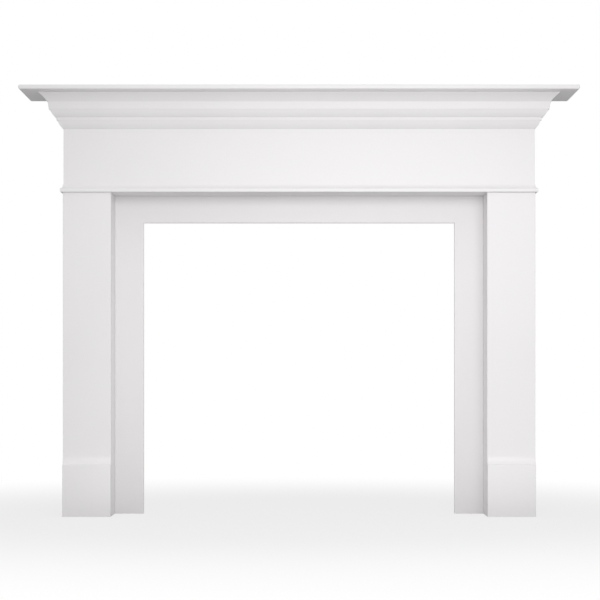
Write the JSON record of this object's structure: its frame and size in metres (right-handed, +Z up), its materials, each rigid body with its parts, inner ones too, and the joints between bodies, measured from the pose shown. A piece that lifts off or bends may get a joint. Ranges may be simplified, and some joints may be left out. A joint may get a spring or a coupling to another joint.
{
  "type": "fireplace mantelpiece",
  "caption": "White painted fireplace surround with box legs on plinth blocks, a box header, a mitred crown moulding, a shelf and a flat inner facing.",
  "frame": {"origin": "floor level, midway along the shelf's length, midway between the wall plane and the shelf's front edge", "axes": "+X along the shelf to the right as seen from the front, +Y towards the wall, +Z up"},
  "size_m": [1.785, 0.286, 1.382],
  "materials": {
    "white_paint": "satin white paint sprayed on smooth fibreboard"
  },
  "bodies": {
    "root": {"shelf": "white_paint", "crown_front": "white_paint", "crown_left_return": "white_paint", "crown_right_return": "white_paint", "frieze_board": "white_paint", "header_left_end": "white_paint", "header_right_end": "white_paint", "header_soffit": "white_paint", "lip_front": "white_paint", "lip_left_return": "white_paint", "lip_right_return": "white_paint", "left_leg_front": "white_paint", "left_leg_inner_side": "white_paint", "left_leg_outer_side": "white_paint", "right_leg_front": "white_paint", "right_leg_inner_side": "white_paint", "right_leg_outer_side": "white_paint", "left_plinth": "white_paint", "right_plinth": "white_paint", "facing_left": "white_paint", "facing_right": "white_paint", "facing_head": "white_paint"}
  },
  "joints": []
}
